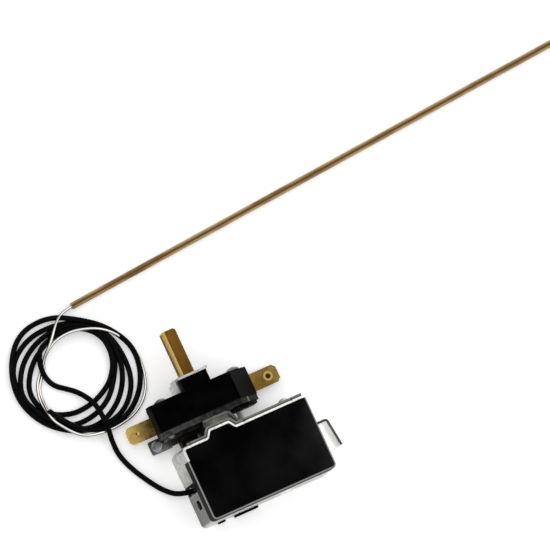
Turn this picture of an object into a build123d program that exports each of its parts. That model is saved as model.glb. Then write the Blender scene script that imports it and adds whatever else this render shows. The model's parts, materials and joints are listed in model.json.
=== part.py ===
from build123d import *

import math
import os

# Capillary thermostat, lying flat as in use on a bench.
# +X runs along the long side of the case, +Y along the shaft towards its tip, +Z up.
# Everything is placed from the middle of the case, and moved to the row's origin at the end.

# Case: sheet-steel pan with a moulded lid
case_width = 47.4
case_depth = 26.4
case_height = 22.0
wall_height = 15.9
sheet = 0.9
bend = 1.2
joggle_reach = 2.4
joggle_half_width = 4.6
joggle_slope = 1.6
front_wall_end_gap = 1.1
hem_height = 3.2
hem_seam = 0.25
hem_seam_depth = 0.7
corner_length = 4.2
slot_width = 3.6
slot_y = 0.3
wall_hole_width = 3.4
wall_hole_height = 6.0
wall_hole_y = -5.6
wall_hole_z = 10.4
foot_slot_height = 2.0
foot_slots_x = ((-18.9, -15.4), (-12.2, -2.7))
notch_width = 1.2
notch_depth = 0.9
notches_x = (-20.5, 0.1, 18.3)
lid_top = 1.5
lid_skirt = 1.4
lid_gap = 0.1
lid_rim_radius = 1.0
lid_lip_depth = 2.0
lid_lip_wall = 1.0

# Shaft
shaft_x = -8.4
shaft_z = 9.4
shaft_radius = 3.0
shaft_flat_depth = 1.4
shaft_flat_angle = 26.5
shaft_reach = 16.9
shaft_tip_chamfer = 0.6
shaft_flat_inside = 2.0
running_gap = 0.05
collar_radius = 4.6
collar_play = 0.1
stub_radius = 2.5
stub_reach = 1.2
drive_slot_width = 1.2
drive_slot_depth = 3.1

# Switch block
housing_left = 16.3
housing_right = 20.9
housing_top_right = 12.2
housing_height = 18.0
housing_shoulder = 5.0
housing_depth = 10.2
housing_eave_reach = 2.5
housing_eave_height = 6.0
housing_wall = 1.5
housing_edge = 0.5
base_thickness = 1.9
base_gap_to_case = 3.5
boss_half_width = 5.2
boss_height = 4.1
boss_bottom = 3.6
tube_wall = 1.7
rivet_left_x = -21.5
rivet_right_x = 6.2
rivet_z = 12.0
rivet_radius = 1.3
rivet_head_radius = 2.6
rivet_head_height = 1.2

# Bearing clip on the boss
clip_sheet = 0.8
clip_leg_length = 4.1
clip_leg_bottom = 6.0
clip_leg_top = 14.6
clip_lug = 2.9
clip_lug_depth = 3.5
clip_lug_z = 11.6
clip_hook = 0.9

# Blade terminals
blade_width = 6.35
blade_thickness = 0.8
blade_length = 10.3
blade_z = 2.0
blade_y_in_housing = 4.1
blade_tip_chamfer = 1.2
blade_hole_radius = 0.8
blade_hole_from_tip = 3.8
dimple_radius = 0.9
dimple_depth = 0.35
blade_fold_height = 1.2
blade_fold_short = 2.8
contact_post_thickness = 0.9
contact_radius = 1.5
contact_height = 0.7
contact_gap = 0.05
arm_thickness = 0.4
arm_width = 4.0
arm_z = 6.5
arm_root_gap = 0.15
arm_free_x = -0.6
arm_root_x = 8.3
arm_y_in_housing = 3.4

# Capsule, button and lever inside the case
capsule_radius = 7.9
capsule_thickness = 3.4
capsule_x = 7.0
capsule_rim_thickness = 1.0
capsule_stud_radius = 2.0
capsule_head_radius = 3.0
capsule_head_height = 0.9
inlet_reach = 7.3
inlet_drop = 2.6
button_radius = 3.2
button_flange = 1.2
button_stem_radius = 1.4
lever_y = -1.4
lever_thickness = 1.2
lever_half_width = 4.0
lever_past_spring = 3.9
pivot_from_side = 5.5
pin_radius = 1.0
eye_wall = 1.1
ear_gap = 0.2
ear_margin = 1.1
push_pin_x = 3.5
push_pin_z = 6.5
push_pin_radius = 1.0
pin_foot_y = 2.2
touch_gap = 0.05
screw_radius = 1.25
screw_head_radius = 2.2
screw_head_height = 1.4

# Range spindle, bush, nut, cup and spring
spindle_radius = 1.5
tongue_width = 2.8
tongue_gap = 0.08
tongue_overlap = 2.6
bush_radius = 2.2
bush_flange_radius = 2.9
bush_flange = 1.2
bush_inner_end = 11.6
nut_across_flats = 6.0
nut_thickness = 2.0
spindle_tip_y = 6.0
cup_thickness = 0.8
cup_radius = 3.9
cup_rim = 1.2
spring_radius = 2.6
spring_wire = 0.7
spring_turns = 5
spring_seat_gap = 0.05

# Saddle bridge between the case and the switch block
bridge_half_width = 4.7
bridge_shift = 0.9
bridge_bottom = 2.5
bridge_top = 17.0
bridge_sheet = 0.8
bridge_lip = 1.0
stay_reach = 4.2

# Side hook, front rivet and earth lug
hook_sheet = 0.9
hook_bottom = 8.0
hook_top = 16.0
hook_low_y = -6.6
hook_high_y = 3.4
hook_gap = 3.7
hook_lean = 1.2
hook_bend = 0.9
front_rivet_from_side = 5.1
front_rivet_radius = 2.5
front_rivet_height = 2.4
front_rivet_shank = 1.3
lug_thickness = 0.8
lug_z = 3.0
lug_reach = 4.9
lug_inner_reach = 2.7
lug_depth = 5.2
lug_screw_radius = 2.15
lug_screw_height = 1.7
lug_screw_slot = 0.6
lug_shank_radius = 1.3
lug_shank_length = 2.2

# Capillary and bulb
sleeve_diameter = 1.9
capillary_diameter = 1.0
ferrule_diameter = 2.9
ferrule_length = 4.0
bulb_diameter = 2.5
bulb_length = 196.0
bulb_angle = 4.8
bulb_start_x = -33.4
bulb_start_y = 75.4
coil_long_radius = 24.0
coil_short_radius = 21.4
coil_turn = -30.0
coil_x = -41.9
coil_y = 53.1
coil_hole_radius = 12.8
coil_hole_x = -43.8
coil_hole_y = 54.9
coil_height = 5.6
coil_edge = 1.2

# Places that several pieces share
half_width = case_width / 2
half_depth = case_depth / 2
pivot_x = half_width - pivot_from_side
front_rivet_x = half_width - front_rivet_from_side
lever_left_x = shaft_x - lever_past_spring
front_face = half_depth + sheet
joggle_face = front_face + joggle_reach
base_back = joggle_face + base_gap_to_case
housing_back = base_back + base_thickness
housing_front = housing_back + housing_depth
boss_end = housing_front + boss_height
clip_face = boss_end + clip_sheet
shaft_tip = clip_face + shaft_reach
housing_left_x = shaft_x - housing_left
housing_right_x = shaft_x + housing_right
eave_x = housing_left_x - housing_eave_reach
eave_z = housing_height - housing_eave_height
shoulder_x = shaft_x + housing_top_right
collar_radius_room = collar_radius + running_gap
tube_radius = shaft_radius + running_gap + tube_wall
tube_end = housing_back + 2.5
blade_y = housing_back + blade_y_in_housing
arm_y = housing_back + arm_y_in_housing
blade_top = blade_z + blade_thickness
lever_top = lever_y + lever_thickness
lever_bottom_z = shaft_z - lever_half_width
lever_top_z = shaft_z + lever_half_width
capsule_back = -half_depth + sheet
capsule_front = capsule_back + capsule_thickness
eye_radius = pin_radius + running_gap + eye_wall
wall_inside_x = half_width - sheet
hook_outer_x = half_width + hook_sheet + hook_gap
bulb_z = bulb_diameter / 2
lug_screw_x = housing_left_x - lug_reach / 2

# Reach of the thermostat without its capillary, which sets the origin
reach_left = housing_left_x - blade_length
hook_slope = math.atan2(hook_lean, hook_high_y - hook_low_y)
reach_right = hook_outer_x + hook_lean + hook_sheet / 2 * math.cos(hook_slope)
reach_back = -half_depth - capsule_head_height
origin_x = (reach_left + reach_right) / 2
origin_y = (reach_back + shaft_tip) / 2


def block(x, y, z):
    """Box from its low and high limits along each axis."""
    size = Box(x[1] - x[0], y[1] - y[0], z[1] - z[0])
    return Pos((x[0] + x[1]) / 2, (y[0] + y[1]) / 2, (z[0] + z[1]) / 2) * size


def rod_y(x, z, y, radius):
    """Round bar along Y between two limits."""
    return Pos(x, (y[0] + y[1]) / 2, z) * Rot(90, 0, 0) * Cylinder(radius, y[1] - y[0])


def rod_z(x, y, z, radius):
    """Round bar along Z between two limits."""
    return Pos(x, y, (z[0] + z[1]) / 2) * Cylinder(radius, z[1] - z[0])


def strip(points, thickness, radius, z):
    """Strip of sheet standing on its edge: a bent line in plan, raised from z[0] to z[1]."""
    line = FilletPolyline(*points, radius=radius)
    plan = trace(line, thickness)
    return Pos(0, 0, z[0]) * extrude(plan, amount=z[1] - z[0])


def dome_y(x, z, y, radius, height):
    """Low domed head on a face that looks along +Y, or along -Y with a negative height."""
    sphere_radius = (radius**2 + height**2) / (2 * abs(height))
    half_angle = math.asin(radius / sphere_radius) / 2
    side = math.copysign(1, height)
    middle_y = height - side * sphere_radius * (1 - math.cos(half_angle))
    profile = [
        Line((0, 0), (radius, 0)),
        ThreePointArc((radius, 0), (sphere_radius * math.sin(half_angle), middle_y), (0, height)),
        Line((0, height), (0, 0)),
    ]
    return Pos(x, y, z) * revolve(make_face(profile), Axis.Y)


def front_line(shift=0):
    """Plan line of the front wall with its joggle, from the right end to the left corner.

    The shift draws the line parallel to the wall, further out.
    """
    y = half_depth + sheet / 2 + shift
    out_y = y + joggle_reach
    half_turn = math.atan2(joggle_reach, joggle_slope) / 2
    inner = joggle_half_width - joggle_slope / 2 + shift * math.tan(half_turn)
    outer = joggle_half_width + joggle_slope / 2 + shift * math.tan(half_turn)
    return [
        (half_width - front_wall_end_gap, y),
        (shaft_x + outer, y),
        (shaft_x + inner, out_y),
        (shaft_x - inner, out_y),
        (shaft_x - outer, y),
        (-half_width + sheet / 2, y),
    ]


def front_hem():
    """Top edge of the front wall folded back on itself outside, with a fine seam along the fold."""
    line = front_line(sheet)
    line[-1] = (line[-1][0] + 2 * bend, line[-1][1])
    hem = strip(line, sheet, bend, (case_height - hem_height, case_height))
    seam_line = front_line(sheet / 2 + hem_seam / 2)
    seam_line[-1] = (seam_line[-1][0] + 3 * bend, seam_line[-1][1])
    seam = strip(seam_line, hem_seam, bend, (case_height - hem_seam_depth, case_height))
    return hem - seam


def case_frame():
    """Folded pan: floor, tall joggled front wall and three low walls."""
    left_x = -half_width + sheet / 2
    right_x = half_width - sheet / 2
    back_y = -half_depth + sheet / 2
    corner_y = half_depth - corner_length
    tall = strip(front_line() + [(left_x, corner_y)], sheet, bend, (0, case_height))
    low_line = [
        (left_x, half_depth - bend - sheet),
        (left_x, back_y),
        (right_x, back_y),
        (right_x, half_depth - lid_gap),
    ]
    low = strip(low_line, sheet, bend, (0, wall_height))
    floor_plan = Rectangle(case_width, case_depth)
    floor_plan = fillet(floor_plan.vertices(), bend + sheet / 2)
    floor = extrude(floor_plan, amount=sheet)
    front_floor = block(
        (-half_width + bend + sheet, half_width - front_wall_end_gap),
        (0, front_face - sheet / 2),
        (0, sheet),
    )
    tongue = block(
        (shaft_x - joggle_half_width, shaft_x + joggle_half_width),
        (0, joggle_face - sheet / 2),
        (0, sheet),
    )
    frame = tall + low + floor + front_floor + tongue + front_hem()
    wall_cut = (-half_width - sheet, -half_width + 2 * sheet)
    frame -= block(
        wall_cut,
        (slot_y - slot_width / 2, slot_y + slot_width / 2),
        (sheet, wall_height + sheet),
    )
    hole = SlotOverall(wall_hole_height, wall_hole_width, rotation=90)
    frame -= Pos(0, wall_hole_y, wall_hole_z) * extrude(
        Plane.YZ.offset(wall_cut[0]) * hole,
        amount=wall_cut[1] - wall_cut[0],
    )
    for low_x, high_x in foot_slots_x:
        frame -= block(
            (low_x, high_x),
            (-half_depth - sheet, -half_depth + 2 * sheet),
            (sheet, sheet + foot_slot_height),
        )
    for x in notches_x:
        frame -= block(
            (x - notch_width / 2, x + notch_width / 2),
            (half_depth - sheet, front_face + sheet),
            (case_height - notch_depth, case_height + sheet),
        )
    frame -= rod_y(shaft_x, shaft_z, (half_depth, joggle_face + sheet), bush_radius + running_gap)
    frame -= rod_y(
        push_pin_x,
        push_pin_z,
        (half_depth - sheet, front_face + sheet),
        push_pin_radius + 6 * running_gap,
    )
    frame -= rod_y(
        front_rivet_x,
        shaft_z,
        (half_depth - sheet, front_face + sheet),
        front_rivet_shank,
    )
    frame -= rod_y(
        capsule_x,
        shaft_z,
        (-half_depth - sheet, -half_depth + 2 * sheet),
        capsule_stud_radius,
    )
    return frame


def case_lid():
    """Moulded lid with a rounded rim, a skirt that sits on the low walls and a lip inside them."""
    skirt_bottom = wall_height + lid_gap
    inside_front = half_depth - lid_gap
    plan = Pos(0, (inside_front - half_depth) / 2) * Rectangle(case_width, half_depth + inside_front)
    corners = plan.vertices().sort_by(Axis.Y)[:2]
    plan = fillet(corners, bend + sheet / 2)
    shell = Pos(0, 0, skirt_bottom) * extrude(plan, amount=case_height - skirt_bottom)
    top_edges = shell.faces().sort_by(Axis.Z)[-1].edges()
    rim = [edge for edge in top_edges if edge.center().Y < inside_front - lid_gap]
    shell = fillet(rim, lid_rim_radius)
    shell -= block(
        (-half_width + lid_skirt, half_width - lid_skirt),
        (-half_depth + lid_skirt, inside_front + sheet),
        (0, case_height - lid_top),
    )
    shell -= block(
        (-half_width - sheet, -half_width + sheet + lid_gap),
        (half_depth - corner_length - lid_gap, inside_front + sheet),
        (0, case_height + sheet),
    )
    corner = Pos(-half_width + sheet, half_depth) * Rot(0, 0, 45) * Box(2 * bend, 2 * bend, 3 * case_height)
    shell -= corner
    inner = joggle_half_width - joggle_slope / 2 - sheet
    outer = joggle_half_width + joggle_slope / 2 - sheet
    bump = Polyline(
        (shaft_x - outer, 0),
        (shaft_x + outer, 0),
        (shaft_x + outer, inside_front - lid_gap),
        (shaft_x + inner, inside_front + joggle_reach - lid_gap),
        (shaft_x - inner, inside_front + joggle_reach - lid_gap),
        (shaft_x - outer, inside_front - lid_gap),
        close=True,
    )
    bump = extrude(make_face(bump), amount=lid_top)
    shell += Pos(0, 0, case_height - lid_top) * bump
    lip_x = half_width - sheet - lid_gap
    lip_y = half_depth - sheet - lid_gap
    lip = block(
        (-lip_x, lip_x),
        (-lip_y, lip_y - bend),
        (skirt_bottom - lid_lip_depth, case_height - lid_top),
    )
    lip -= block(
        (-lip_x + lid_lip_wall, lip_x - lid_lip_wall),
        (-lip_y + lid_lip_wall, lip_y),
        (0, case_height),
    )
    lip -= block(
        (-half_width, 0),
        (slot_y - slot_width, slot_y + slot_width),
        (0, skirt_bottom),
    )
    lip = fillet(lip.edges().filter_by(Axis.Z).group_by(Axis.Y)[0], bend - sheet / 2)
    lip -= block(
        (capsule_x - capsule_radius - lid_lip_wall, capsule_x + capsule_radius + lid_lip_wall),
        (-half_depth, 0),
        (0, case_height - lid_top),
    )
    return shell + lip


def side_hook():
    """Spring strip on the right wall, bent out and back on itself."""
    inner_x = half_width + hook_sheet / 2
    points = [
        (inner_x, hook_low_y),
        (inner_x, hook_high_y),
        (hook_outer_x, hook_high_y),
        (hook_outer_x + hook_lean, hook_low_y),
    ]
    return strip(points, hook_sheet, hook_bend, (hook_bottom, hook_top))


def saddle_bridge():
    """Folded saddle that carries the switch block on the joggle, with a slanted stay on its right."""
    left = shaft_x + bridge_shift - bridge_half_width
    right = shaft_x + bridge_shift + bridge_half_width
    body = block((left, right), (joggle_face, base_back), (bridge_bottom, bridge_top))
    body -= block(
        (left + bridge_sheet, right - bridge_sheet),
        (joggle_face + bridge_sheet, base_back - bridge_sheet),
        (0, bridge_top - bridge_sheet),
    )
    lip = block(
        (left, right),
        (base_back - bridge_sheet, base_back),
        (bridge_top - bridge_sheet, bridge_top + bridge_lip),
    )
    stay = strip(
        [
            (right - bridge_sheet, base_back - bridge_sheet / 2),
            (right + bridge_sheet, base_back - bridge_sheet / 2),
            (right + stay_reach - bridge_sheet, front_face + bridge_sheet / 2),
            (right + stay_reach, front_face + bridge_sheet / 2),
        ],
        bridge_sheet,
        bridge_sheet / 2,
        (shaft_z, bridge_top - bridge_sheet),
    )
    bridge = body + lip + stay
    bridge -= rod_y(shaft_x, shaft_z, (joggle_face - sheet, base_back - 2 * bridge_sheet), bush_radius)
    bridge -= rod_y(
        shaft_x,
        shaft_z,
        (base_back - 2 * bridge_sheet, base_back + sheet),
        stub_radius + 4 * running_gap,
    )
    bridge -= rod_y(
        push_pin_x,
        push_pin_z,
        (front_face, base_back),
        push_pin_radius + 6 * running_gap,
    )
    return bridge


def front_rivet():
    """Domed rivet that holds the pivot bracket on the front wall."""
    head = dome_y(front_rivet_x, shaft_z, front_face, front_rivet_radius, front_rivet_height)
    shank = rod_y(front_rivet_x, shaft_z, (half_depth - sheet, front_face), front_rivet_shank)
    tail = dome_y(
        front_rivet_x,
        shaft_z,
        half_depth - sheet,
        front_rivet_radius,
        -front_rivet_height / 2,
    )
    return head + shank + tail


def housing_outline(margin):
    """Front view of the housing with its slanted right shoulder and left eave, drawn in by a margin."""
    return Polyline(
        (housing_left_x + margin, margin),
        (housing_right_x - margin, margin),
        (housing_right_x - margin, housing_shoulder - margin / 2),
        (shoulder_x - margin / 2, housing_height - margin),
        (eave_x + margin, housing_height - margin),
        (eave_x + margin, eave_z + margin),
        (housing_left_x + margin, eave_z + margin),
        close=True,
    )


def along_y(outline, y):
    """Closed outline in X and Z, raised along Y between two limits."""
    face = make_face(Plane.XZ * outline)
    return Pos(0, y[0], 0) * extrude(face, amount=y[1] - y[0], dir=(0, 1, 0))


def switch_housing():
    """Moulded block with a flush boss, open towards its base plate, with a bearing tube inside."""
    body = along_y(housing_outline(0), (housing_back, housing_front))
    boss = block(
        (shaft_x - boss_half_width, shaft_x + boss_half_width),
        (housing_front - housing_wall, boss_end),
        (boss_bottom, housing_height),
    )
    body += boss
    top = body.faces().sort_by(Axis.Z)[-1]
    body = fillet(top.edges(), housing_edge)
    body -= along_y(housing_outline(housing_wall), (housing_back, housing_front - housing_wall))
    body += rod_y(shaft_x, shaft_z, (tube_end, housing_front), tube_radius)
    rivet_post = rivet_radius + tube_wall
    for x in (rivet_left_x, rivet_right_x):
        post = rod_y(x, rivet_z, (housing_back, housing_front), rivet_post)
        body += post & along_y(housing_outline(0), (housing_back, housing_front))
        body -= rod_y(x, rivet_z, (housing_back, housing_front), rivet_radius)
    body -= rod_y(shaft_x, shaft_z, (housing_back, boss_end), shaft_radius + running_gap)
    blade_room = (blade_y - blade_width / 2, blade_y + blade_width / 2)
    body -= block((housing_left_x, housing_left_x + housing_wall), blade_room, (blade_z, blade_top))
    body -= block(
        (housing_right_x - housing_wall, housing_right_x),
        blade_room,
        (blade_top - blade_fold_height, blade_top),
    )
    return body


def switch_base():
    """Moulded plate behind the housing, with a guide for the push pin and the shaft's way through."""
    plate = along_y(housing_outline(housing_edge / 2), (base_back, housing_back))
    guide = rod_y(
        push_pin_x,
        push_pin_z,
        (base_back - bridge_lip, housing_back),
        push_pin_radius + tube_wall,
    )
    plate += guide
    plate -= rod_y(shaft_x, shaft_z, (base_back, housing_back), stub_radius + 2 * running_gap)
    plate -= rod_y(
        push_pin_x,
        push_pin_z,
        (base_back - bridge_lip, housing_back),
        push_pin_radius + running_gap,
    )
    for x in (rivet_left_x, rivet_right_x):
        plate -= rod_y(x, rivet_z, (base_back, housing_back), rivet_radius)
    return plate


def housing_rivets():
    """Two rivets that hold the base plate in the housing."""
    rivets = []
    for x in (rivet_left_x, rivet_right_x):
        shank = rod_y(x, rivet_z, (base_back, housing_front), rivet_radius)
        front = dome_y(x, rivet_z, housing_front, rivet_head_radius, rivet_head_height)
        back = dome_y(x, rivet_z, base_back, rivet_head_radius, -rivet_head_height)
        rivets.append(shank + front + back)
    return Compound(children=rivets)


def bearing_clip():
    """Plate on the boss with a hole for the shaft, a curled corner, a side leg and a lug."""
    left = shaft_x - boss_half_width
    right = shaft_x + boss_half_width
    plate = block((left, right), (boss_end, clip_face), (boss_bottom, housing_height))
    plate -= rod_y(shaft_x, shaft_z, (boss_end, clip_face), shaft_radius + 3 * running_gap)
    leg = block(
        (left - clip_sheet, left),
        (boss_end - clip_leg_length, clip_face),
        (clip_leg_bottom, clip_leg_top),
    )
    lug = block(
        (left - clip_lug, left),
        (boss_end - clip_leg_length, boss_end - clip_leg_length + clip_lug_depth),
        (clip_lug_z, clip_lug_z + clip_sheet),
    )
    hook = block(
        (right, right + clip_hook),
        (clip_face - clip_sheet, clip_face + clip_hook / 2),
        (housing_height - 2 * clip_lug, housing_height - clip_sheet),
    )
    hook = fillet(hook.edges().filter_by(Axis.Z), clip_hook / 3)
    clip = plate + leg + lug
    corner = clip.edges().filter_by(Axis.Z).sort_by(lambda edge: edge.center().Y - edge.center().X)
    clip = fillet(corner[-1], clip_sheet / 2)
    return clip + hook


def shaft():
    """D-shaft with a thrust collar and a slotted stub that drives the range spindle."""
    body = rod_y(shaft_x, shaft_z, (tube_end, shaft_tip), shaft_radius)
    tip = body.edges().sort_by(Axis.Y)[-1]
    body = chamfer(tip, shaft_tip_chamfer)
    collar = rod_y(
        shaft_x,
        shaft_z,
        (housing_back + collar_play, tube_end - collar_play),
        collar_radius,
    )
    stub_end = base_back - stub_reach
    stub = rod_y(shaft_x, shaft_z, (stub_end, housing_back + collar_play), stub_radius)
    neck = rod_y(shaft_x, shaft_z, (tube_end - collar_play, tube_end), shaft_radius)
    body += collar + stub + neck
    flat = block(
        (-shaft_radius, shaft_radius),
        (boss_end - shaft_flat_inside, shaft_tip),
        (shaft_radius - shaft_flat_depth, shaft_radius),
    )
    body -= Pos(shaft_x, 0, shaft_z) * Rot(0, shaft_flat_angle, 0) * flat
    body -= block(
        (shaft_x - drive_slot_width / 2, shaft_x + drive_slot_width / 2),
        (stub_end, stub_end + drive_slot_depth),
        (shaft_z - stub_radius, shaft_z + stub_radius),
    )
    return body


def left_terminal():
    """Blade with a dimple, whose inner bus runs under the shaft to the fixed contact's post."""
    tip = housing_left_x - blade_length
    post_x = arm_free_x + contact_radius
    y = (blade_y - blade_width / 2, blade_y + blade_width / 2)
    blade = block((tip, housing_left_x + 2 * housing_wall), y, (blade_z, blade_top))
    blade = chamfer(blade.edges().filter_by(Axis.Z).group_by(Axis.X)[0], blade_tip_chamfer)
    post_y = arm_y - contact_gap - contact_height - contact_post_thickness
    bus_y = (post_y, post_y + 2.5 * contact_post_thickness)
    bus = block((housing_left_x + housing_wall, post_x), bus_y, (blade_z, blade_top))
    post = block(
        (post_x - 2 * contact_radius, post_x),
        (post_y, post_y + contact_post_thickness),
        (blade_z, arm_z + contact_radius),
    )
    dimple = Pos(tip + blade_hole_from_tip, blade_y, blade_top) * Sphere(dimple_radius)
    dimple = Pos(0, 0, dimple_radius - dimple_depth) * dimple
    return blade + bus + post - dimple


def right_terminal():
    """Blade with a hole and a folded edge, whose inner end turns up into the contact arm's anchor."""
    tip = housing_right_x + blade_length
    y = (blade_y - blade_width / 2, blade_y + blade_width / 2)
    blade = block((arm_root_x, tip), y, (blade_z, blade_top))
    blade = chamfer(blade.edges().filter_by(Axis.Z).group_by(Axis.X)[-1], blade_tip_chamfer)
    hole_x = tip - blade_hole_from_tip
    blade -= rod_z(hole_x, blade_y, (blade_z, blade_top), blade_hole_radius)
    ring = rod_z(hole_x, blade_y, (blade_top, blade_top + dimple_depth / 2), 2 * blade_hole_radius)
    ring -= rod_z(hole_x, blade_y, (blade_top, blade_top + dimple_depth), blade_hole_radius)
    fold = block(
        (arm_root_x, tip - blade_fold_short),
        (y[0], y[0] + blade_thickness),
        (blade_top - blade_fold_height, blade_top),
    )
    anchor = block(
        (arm_root_x + arm_root_gap, arm_root_x + arm_root_gap + contact_post_thickness),
        (arm_y - arm_thickness, arm_y + 2 * arm_thickness),
        (blade_z, arm_z),
    )
    return blade + ring + fold + anchor


def fixed_contact():
    """Contact button on the left terminal's post."""
    x = arm_free_x
    face = arm_y - contact_gap
    return rod_y(x, arm_z, (face - contact_height, face), contact_radius)


def contact_arm():
    """Flat strip that rocks on the right terminal's anchor, with its contact button."""
    z = (arm_z - arm_width / 2, arm_z + arm_width / 2)
    end = arm_free_x - contact_radius
    arm = block((end, arm_root_x), (arm_y, arm_y + arm_thickness), z)
    return chamfer(arm.edges().filter_by(Axis.Y).group_by(Axis.X)[0], contact_radius / 2)


def arm_contact():
    """Contact button riveted through the free end of the arm."""
    face = arm_y + arm_thickness
    return rod_y(arm_free_x, arm_z, (face, face + contact_height / 2), contact_radius)


def diaphragm_capsule():
    """Two dished discs welded at the rim, with a stud spun over behind the back wall."""
    rim_y = capsule_back + capsule_thickness / 2
    rim = rod_y(
        capsule_x,
        shaft_z,
        (rim_y - capsule_rim_thickness / 2, rim_y + capsule_rim_thickness / 2),
        capsule_radius,
    )
    drum = rod_y(capsule_x, shaft_z, (capsule_back, capsule_front), capsule_radius - 1.4)
    body = rim + drum
    groove = Pos(capsule_x, capsule_front, shaft_z) * Rot(90, 0, 0) * Torus(button_radius + 1.7, 0.5)
    body -= groove
    stud = rod_y(capsule_x, shaft_z, (-half_depth, capsule_back), capsule_stud_radius)
    head = dome_y(capsule_x, shaft_z, -half_depth, capsule_head_radius, -capsule_head_height)
    return body + stud + head


def pressure_button():
    """Mushroom button between the capsule and the lever."""
    flange = rod_y(
        capsule_x,
        shaft_z,
        (capsule_front, capsule_front + button_flange),
        button_radius,
    )
    tip = lever_y - touch_gap
    stem = rod_y(
        capsule_x,
        shaft_z,
        (capsule_front + button_flange, tip - button_stem_radius / 2),
        button_stem_radius,
    )
    dome = dome_y(
        capsule_x,
        shaft_z,
        tip - button_stem_radius / 2,
        button_stem_radius,
        button_stem_radius / 2,
    )
    return flange + stem + dome


def range_lever():
    """Flat lever with a rolled eye at its pivot and a dimple that centres the range spring."""
    z = (lever_bottom_z, lever_top_z)
    lever = block((lever_left_x, pivot_x), (lever_y, lever_top), z)
    corners = lever.edges().filter_by(Axis.Y).group_by(Axis.X)[0]
    lever = fillet(corners, lever_half_width / 2)
    lever += rod_z(pivot_x, lever_y + lever_thickness / 2, z, eye_radius)
    lever -= rod_z(pivot_x, lever_y + lever_thickness / 2, z, pin_radius + running_gap)
    seat_radius = spring_radius - spring_wire
    lever += dome_y(shaft_x, shaft_z, lever_top, seat_radius, spring_wire)
    lever -= rod_y(push_pin_x, push_pin_z, (lever_y, lever_top), screw_radius)
    return lever


def calibration_screw():
    """Small slotted screw in the lever that meets the push pin."""
    head = rod_y(
        push_pin_x,
        push_pin_z,
        (lever_y - screw_head_height, lever_y),
        screw_head_radius,
    )
    head -= block(
        (push_pin_x - screw_head_radius, push_pin_x + screw_head_radius),
        (lever_y - screw_head_height, lever_y - screw_head_height / 2),
        (push_pin_z - running_gap * 6, push_pin_z + running_gap * 6),
    )
    tip = pin_foot_y - touch_gap
    shank = rod_y(push_pin_x, push_pin_z, (lever_y, tip - screw_radius / 2), screw_radius)
    nose = dome_y(push_pin_x, push_pin_z, tip - screw_radius / 2, screw_radius, screw_radius / 2)
    return head + shank + nose


def lever_pin():
    """Pivot pin of the lever, headed at the top."""
    reach = lever_half_width + ear_gap + 2 * sheet
    y = lever_y + lever_thickness / 2
    pin = rod_z(pivot_x, y, (shaft_z - reach, shaft_z + reach), pin_radius)
    head = rod_z(pivot_x, y, (shaft_z + reach - sheet, shaft_z + reach), pin_radius * 1.6)
    return pin + head


def pivot_bracket():
    """Folded bracket riveted to the front wall, whose two ears carry the lever pin."""
    y = lever_y + lever_thickness / 2
    web_face = half_depth
    left = front_rivet_x - eye_radius - ear_margin
    right = pivot_x + eye_radius + ear_margin
    low = lever_bottom_z - ear_gap
    high = lever_top_z + ear_gap
    web = block((left, right), (web_face - sheet, web_face), (low - sheet, high + sheet))
    bracket = web
    for z in ((low - sheet, low), (high, high + sheet)):
        ear = Polyline(
            (left, web_face),
            (right, web_face),
            (right, y),
            (pivot_x, y - eye_radius - ear_margin),
            (pivot_x - eye_radius - ear_margin, y),
            close=True,
        )
        bracket += Pos(0, 0, z[0]) * extrude(make_face(ear), amount=sheet)
    bracket -= rod_z(pivot_x, y, (low - sheet, high + sheet), pin_radius)
    bracket -= rod_y(
        front_rivet_x,
        shaft_z,
        (web_face - sheet, web_face),
        front_rivet_shank,
    )
    return bracket


def push_pin():
    """Ceramic pin from the calibration screw to the contact arm."""
    top = arm_y - touch_gap
    rod = rod_y(push_pin_x, push_pin_z, (pin_foot_y, top - push_pin_radius / 2), push_pin_radius)
    nose = dome_y(
        push_pin_x,
        push_pin_z,
        top - push_pin_radius / 2,
        push_pin_radius,
        push_pin_radius / 2,
    )
    return rod + nose


def range_spindle():
    """Threaded spindle with a tongue in the shaft's slot and a domed tip in the spring cup."""
    stub_end = base_back - stub_reach
    shoulder = stub_end - bridge_sheet
    body = rod_y(shaft_x, shaft_z, (spindle_tip_y + spindle_radius / 2, shoulder), spindle_radius)
    tip = dome_y(
        shaft_x,
        shaft_z,
        spindle_tip_y + spindle_radius / 2,
        spindle_radius,
        -spindle_radius / 2,
    )
    half_tongue = drive_slot_width / 2 - tongue_gap
    tongue = block(
        (shaft_x - half_tongue, shaft_x + half_tongue),
        (shoulder - bridge_sheet, stub_end + tongue_overlap),
        (shaft_z - tongue_width / 2, shaft_z + tongue_width / 2),
    )
    return body + tip + tongue


def range_bush():
    """Flanged nut bush that clamps the bridge to the joggle and carries the spindle's thread."""
    flange_face = joggle_face + bridge_sheet
    body = rod_y(shaft_x, shaft_z, (bush_inner_end, flange_face), bush_radius)
    body += rod_y(shaft_x, shaft_z, (flange_face, flange_face + bush_flange), bush_flange_radius)
    body -= rod_y(
        shaft_x,
        shaft_z,
        (bush_inner_end, flange_face + bush_flange),
        spindle_radius + running_gap,
    )
    return body


def bush_nut():
    """Hexagon nut behind the joggle."""
    face = joggle_face - sheet
    hexagon = RegularPolygon(nut_across_flats / 2, 6, major_radius=False)
    nut = extrude(Plane.XZ * hexagon, amount=nut_thickness)
    nut = Pos(shaft_x, face, shaft_z) * nut
    return nut - rod_y(shaft_x, shaft_z, (face - nut_thickness, face), bush_radius)


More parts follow.
